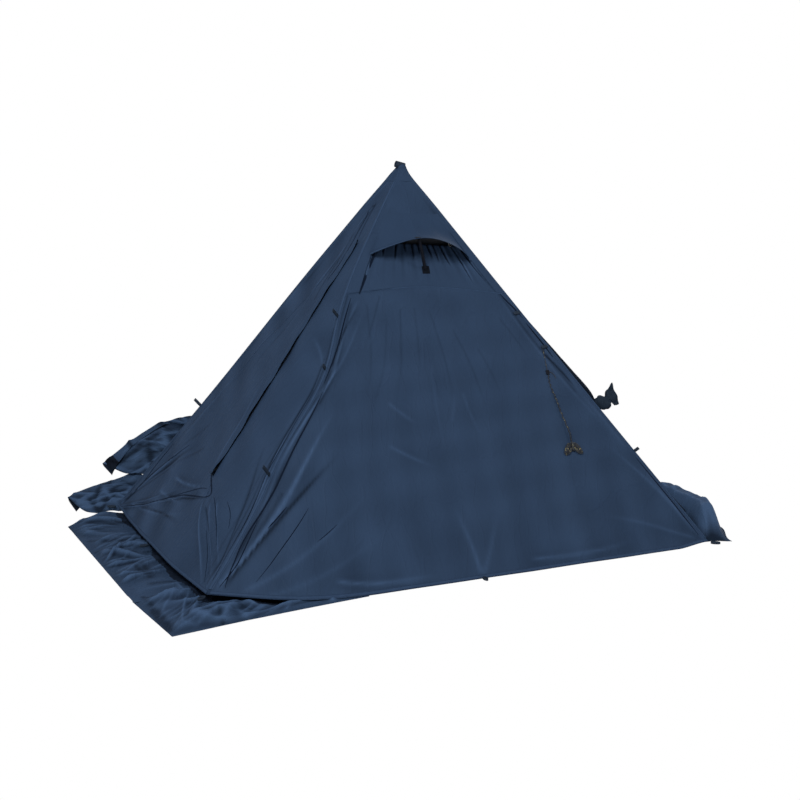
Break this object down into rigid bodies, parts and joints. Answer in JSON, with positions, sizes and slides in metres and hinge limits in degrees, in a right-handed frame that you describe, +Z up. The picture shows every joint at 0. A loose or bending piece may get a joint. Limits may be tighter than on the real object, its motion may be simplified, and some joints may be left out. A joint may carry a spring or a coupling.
{
  "type": "pyramid tent",
  "caption": "Pyramid tent pitched on a centre pole, with a zipped door in each end wall, a propped vent hood near the peak, a ground skirt and a hanked guy line.",
  "frame": {"origin": "on the ground under the centre pole's foot, which is the centre of the hem's rectangle", "axes": "+Z up; +Y along the long side, from the closed front door to the open rear door; +X out through the vented long side"},
  "size_m": [2.2151, 2.9226, 1.7592],
  "materials": {
    "fly_fabric": "coated woven polyester, soft sheen",
    "skirt_fabric": "coated woven polyester",
    "coated_face": "dark coated inner face",
    "vent_mesh": "fine insect mesh",
    "black_trim": "moulded or woven black trim",
    "webbing": "flat woven webbing",
    "guy_cord": "braided cord with tan flecks",
    "zip_metal": "dark lacquered zip metal",
    "pole_aluminium": "satin anodised tube",
    "rubber": "matt rubber"
  },
  "bodies": {
    "fly_and_pole": {"apex_cap": "fly_fabric", "apex_loop": "webbing", "front_fixed_panel": "fly_fabric", "front_side_panel": "fly_fabric", "front_sill_panel": "fly_fabric", "front_zip_tape_fixed": "black_trim", "guy_line_hank": "guy_cord", "guy_line_stretch": "guy_cord", "left_wall_panel": "fly_fabric", "peg_loop_front_left": "webbing", "peg_loop_front_right": "webbing", "peg_loop_mid_front": "webbing", "peg_loop_mid_right": "webbing", "peg_loop_rear_left": "webbing", "peg_loop_rear_right": "webbing", "pole_foot": "rubber", "pole_lower_section": "pole_aluminium", "pole_middle_section": "pole_aluminium", "pole_tip": "black_trim", "pole_upper_section": "pole_aluminium", "rear_door_roll": "coated_face", "rear_door_tail": "coated_face", "rear_door_tie": "webbing", "rear_fixed_panel": "fly_fabric", "rear_side_panel": "fly_fabric", "rear_sill_panel": "fly_fabric", "rear_zip_slider": "zip_metal", "rear_zip_tape_fixed": "black_trim", "ridge_binding_front_left": "fly_fabric", "ridge_binding_front_right": "fly_fabric", "ridge_binding_rear_left": "fly_fabric", "ridge_binding_rear_right": "fly_fabric", "ridge_tab_lower_front_left": "webbing", "ridge_tab_lower_front_right": "webbing", "ridge_tab_lower_rear_left": "webbing", "ridge_tab_lower_rear_right": "webbing", "ridge_tab_middle_front_right": "webbing", "ridge_tab_middle_rear_right": "webbing", "ridge_tab_upper_front_right": "webbing", "ridge_tab_upper_rear_right": "webbing", "right_peak_panel": "fly_fabric", "right_wall_panel": "fly_fabric", "skirt_front": "skirt_fabric", "skirt_front_right": "skirt_fabric", "skirt_left_front": "skirt_fabric", "skirt_left_rear": "skirt_fabric", "skirt_rear": "skirt_fabric", "vent_curtain": "fly_fabric", "vent_hood": "fly_fabric", "vent_mesh": "vent_mesh", "vent_prop_patch": "black_trim"},
    "front_door": {"front_door_panel": "fly_fabric", "front_storm_flap": "fly_fabric", "front_zip_tape_door": "black_trim"},
    "zip_slider": {"front_zip_slider": "zip_metal"},
    "zip_pull_tab": {"front_zip_pull": "zip_metal"},
    "hood_edge": {"vent_hood_tab": "black_trim"},
    "hood_prop": {"vent_prop": "black_trim"},
    "cord_slider": {"guy_line_slider": "black_trim"}
  },
  "joints": [
    {"name": "front_door_swing", "type": "hinge", "parent": "fly_and_pole", "child": "front_door", "pos_m": [0.0648, -0.24, 1.4005], "axis": [-0.466, -0.5114, -0.722], "range_deg": [0, 110]},
    {"name": "zip_slide", "type": "slide", "parent": "fly_and_pole", "child": "zip_slider", "axis": [-0.068, 0.581, 0.8111], "range_m": [0, 1.19]},
    {"name": "zip_pull_swing", "type": "hinge", "parent": "zip_slider", "child": "zip_pull_tab", "pos_m": [0.14763, -0.95591, 0.41629], "axis": [-0.9976, -0.0323, -0.0605], "range_deg": [0, 140]},
    {"name": "vent_hood_bend", "type": "hinge", "parent": "fly_and_pole", "child": "hood_edge", "pos_m": [0.10497, -0.00049, 1.5153], "axis": [0, 1, 0], "range_deg": [0, 33], "deforming": ["vent_hood"]},
    {"name": "vent_prop_fold", "type": "hinge", "parent": "hood_edge", "child": "hood_prop", "pos_m": [0.27785, -0.03355, 1.41627], "axis": [0, 1, 0], "range_deg": [-84, 0]},
    {"name": "guy_slider_slide", "type": "slide", "parent": "fly_and_pole", "child": "cord_slider", "axis": [-0.4182, -0.0108, 0.9083], "range_m": [-0.015, 0.015]}
  ],
  "couplings": [
    {"joint": "vent_prop_fold", "follows": "vent_hood_bend", "ratio": -2.5}
  ]
}
